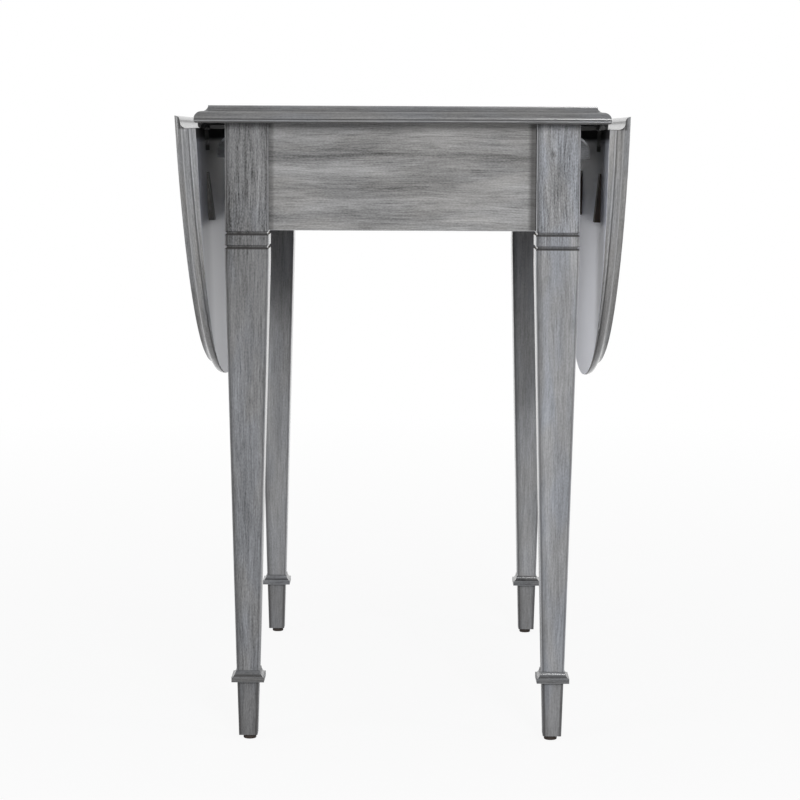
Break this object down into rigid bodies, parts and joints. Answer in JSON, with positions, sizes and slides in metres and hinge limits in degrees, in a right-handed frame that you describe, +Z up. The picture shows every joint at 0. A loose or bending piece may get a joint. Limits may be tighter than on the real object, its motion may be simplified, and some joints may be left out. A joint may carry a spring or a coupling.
{
  "type": "side table",
  "caption": "Drop-leaf side table with square tapered legs, a moulded top, rounded leaves that hinge up, and pull-out slides that carry the raised leaves.",
  "frame": {"origin": "on the floor, under the middle of the top, with the leaves hanging", "axes": "+Z up out of the top; +X from the left leaf to the right leaf, the shortest way across; +Y from the front end to the back end"},
  "size_m": [0.4448, 0.635, 0.635],
  "materials": {
    "top_wood": "grey washed, brushed grain, satin",
    "leaf_wood": "grey washed, brushed grain, satin",
    "apron_wood": "grey washed, brushed grain, satin",
    "leg_wood": "grey washed, brushed grain, satin",
    "slides": "sanded, thin grey wash",
    "inner_wood": "sanded, bare",
    "wedges": "brown stain, satin",
    "glides": "dark brown, matt",
    "hinges": "black, satin",
    "screws": "zinc plated"
  },
  "bodies": {
    "frame": {"apron_back": "apron_wood", "apron_front": "apron_wood", "apron_left": "apron_wood", "apron_right": "apron_wood", "collar_back_left": "leg_wood", "collar_back_right": "leg_wood", "collar_front_left": "leg_wood", "collar_front_right": "leg_wood", "corner_block_back_left": "inner_wood", "corner_block_back_right": "inner_wood", "corner_block_front_left": "inner_wood", "corner_block_front_right": "inner_wood", "frame_screws": "screws", "glide_back_left": "glides", "glide_back_right": "glides", "glide_front_left": "glides", "glide_front_right": "glides", "guide_keepers_front": "inner_wood", "guide_keepers_rear": "inner_wood", "guide_rail_1": "inner_wood", "guide_rail_2": "inner_wood", "guide_rail_3": "inner_wood", "guide_rail_4": "inner_wood", "hinge_fixed_front_left": "hinges", "hinge_fixed_front_right": "hinges", "hinge_fixed_rear_left": "hinges", "hinge_fixed_rear_right": "hinges", "hinge_pin_front_left": "hinges", "hinge_pin_front_right": "hinges", "hinge_pin_rear_left": "hinges", "hinge_pin_rear_right": "hinges", "hinge_screws_top": "screws", "leg_back_left": "leg_wood", "leg_back_right": "leg_wood", "leg_front_left": "leg_wood", "leg_front_right": "leg_wood", "table_top": "top_wood", "top_cleat_back": "inner_wood", "top_cleat_front": "inner_wood"},
    "left_leaf": {"hinge_moving_front_left": "hinges", "hinge_moving_rear_left": "hinges", "hinge_screws_left": "screws", "leaf_left": "leaf_wood", "wedge_front_left": "wedges", "wedge_rear_left": "wedges"},
    "right_leaf": {"hinge_moving_front_right": "hinges", "hinge_moving_rear_right": "hinges", "hinge_screws_right": "screws", "leaf_right": "leaf_wood", "wedge_front_right": "wedges", "wedge_rear_right": "wedges"},
    "front_left_slide": {"slide_front_left": "slides", "slide_stop_front_left": "inner_wood"},
    "front_right_slide": {"slide_front_right": "slides", "slide_stop_front_right": "inner_wood"},
    "rear_left_slide": {"slide_rear_left": "slides", "slide_stop_rear_left": "inner_wood"},
    "rear_right_slide": {"slide_rear_right": "slides", "slide_stop_rear_right": "inner_wood"}
  },
  "joints": [
    {"name": "left_leaf_hinge", "type": "hinge", "parent": "frame", "child": "left_leaf", "pos_m": [-0.2016, 0, 0.6147], "axis": [0, 1, 0], "range_deg": [0, 93.4]},
    {"name": "right_leaf_hinge", "type": "hinge", "parent": "frame", "child": "right_leaf", "pos_m": [0.2016, 0, 0.6147], "axis": [0, -1, 0], "range_deg": [0, 92]},
    {"name": "front_left_slide_pull", "type": "slide", "parent": "frame", "child": "front_left_slide", "axis": [-1, 0, 0], "range_m": [0, 0.054]},
    {"name": "front_right_slide_pull", "type": "slide", "parent": "frame", "child": "front_right_slide", "axis": [1, 0, 0], "range_m": [0, 0.054]},
    {"name": "rear_left_slide_pull", "type": "slide", "parent": "frame", "child": "rear_left_slide", "axis": [-1, 0, 0], "range_m": [0, 0.054]},
    {"name": "rear_right_slide_pull", "type": "slide", "parent": "frame", "child": "rear_right_slide", "axis": [1, 0, 0], "range_m": [0, 0.054]}
  ],
  "couplings": [
    {"joint": "front_left_slide_pull", "follows": "left_leaf_hinge", "m_per_rad": 0.03312},
    {"joint": "front_right_slide_pull", "follows": "right_leaf_hinge", "m_per_rad": 0.03363},
    {"joint": "rear_left_slide_pull", "follows": "left_leaf_hinge", "m_per_rad": 0.03312},
    {"joint": "rear_right_slide_pull", "follows": "right_leaf_hinge", "m_per_rad": 0.03363}
  ]
}
